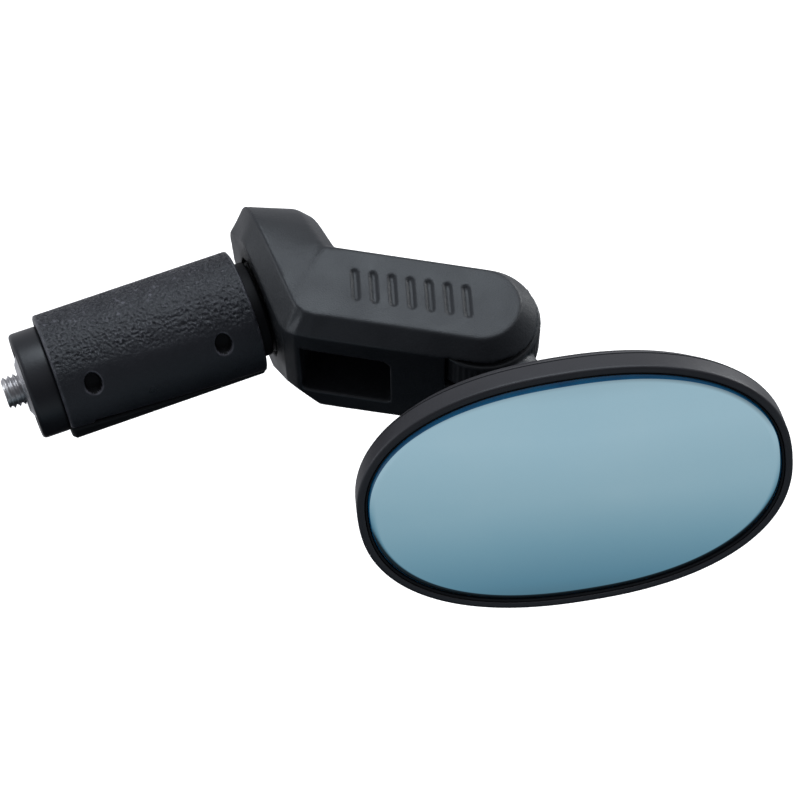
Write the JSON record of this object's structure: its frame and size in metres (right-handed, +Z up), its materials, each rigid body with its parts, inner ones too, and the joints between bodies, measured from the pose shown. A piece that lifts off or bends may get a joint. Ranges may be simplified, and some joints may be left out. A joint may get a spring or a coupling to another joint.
{
  "type": "bicycle mirror",
  "caption": "Bar-end bicycle mirror: expander plug, turning bent arm with a folding hinge, and an oval convex mirror head on a ball joint.",
  "frame": {"origin": "on the expander plug's axis, in the plane of the boss face that stops against the handlebar's end", "axes": "-X along the plug into the handlebar, +X out towards the arm and mirror, +Z up, and the rider is on the -Y side"},
  "size_m": [0.0993, 0.0798, 0.0456],
  "materials": {
    "plastic": "smooth black",
    "rough_plastic": "coarse grip texture",
    "arm_plastic": "satin black",
    "knuckle_plastic": "satin dark grey",
    "head_plastic": "satin black",
    "steel": "zinc plated",
    "nylon": "natural nylon",
    "glass": "blue tinted, polished",
    "reflector": "silvered",
    "foam": "closed-cell foam"
  },
  "bodies": {
    "plug": {"root_wedge": "plastic"},
    "sleeve_up": {"sleeve_upper": "rough_plastic"},
    "sleeve_down": {"sleeve_lower": "plastic"},
    "tip": {"tip_wedge": "plastic", "wedge_nut": "steel"},
    "bolt": {"clamp_bolt": "steel"},
    "arm": {"arm_housing": "arm_plastic", "turn_washer": "nylon", "boss_bush": "steel", "bolt_washer": "steel", "hinge_bolt": "steel", "hinge_nut": "steel", "friction_washer_top": "nylon", "friction_washer_bottom": "nylon"},
    "knuckle": {"knuckle": "knuckle_plastic", "ball_stud": "steel", "stud_pin": "steel"},
    "ball_middle": {"ball_liner": "nylon"},
    "mirror_head": {"head_shell": "head_plastic", "bezel": "head_plastic", "mirror_glass": "glass", "reflector": "reflector", "adhesive_pad": "foam", "socket_cup": "plastic", "socket_ring": "plastic", "socket_screw_1": "steel", "socket_screw_2": "steel", "socket_screw_3": "steel"}
  },
  "joints": [
    {"name": "bolt_spin", "type": "hinge", "parent": "plug", "child": "bolt", "pos_m": [0, 0, 0], "axis": [-1, 0, 0], "range_deg": [0, 631]},
    {"name": "tip_travel", "type": "slide", "parent": "plug", "child": "tip", "axis": [1, 0, 0], "range_m": [0, 0.0014]},
    {"name": "sleeve_up_spread", "type": "slide", "parent": "plug", "child": "sleeve_up", "axis": [0.96, 0, 0.2801], "range_m": [0, 0.0007614]},
    {"name": "sleeve_down_spread", "type": "slide", "parent": "plug", "child": "sleeve_down", "axis": [0.96, 0, -0.2801], "range_m": [0, 0.0007614]},
    {"name": "arm_turn", "type": "hinge", "parent": "plug", "child": "arm", "pos_m": [0, 0, 0], "axis": [1, 0, 0], "continuous": true},
    {"name": "arm_fold", "type": "hinge", "parent": "arm", "child": "knuckle", "pos_m": [0.0279, -0.02121, 0.0082], "axis": [0, 0, 1], "range_deg": [-25, 90]},
    {"name": "ball_tilt", "type": "hinge", "parent": "knuckle", "child": "ball_middle", "pos_m": [0.031, -0.0436, 0.0088], "axis": [0.9669, -0.2429, 0.0785], "range_deg": [-5, 40]},
    {"name": "ball_swing", "type": "hinge", "parent": "ball_middle", "child": "mirror_head", "pos_m": [0.031, -0.0436, 0.0088], "axis": [0.0489, 0.4781, 0.8769], "range_deg": [-10, 30]}
  ],
  "couplings": [
    {"joint": "bolt_spin", "follows": "tip_travel", "rad_per_m": 7854},
    {"joint": "sleeve_up_spread", "follows": "tip_travel", "ratio": 0.54317},
    {"joint": "sleeve_down_spread", "follows": "tip_travel", "ratio": 0.54317}
  ]
}
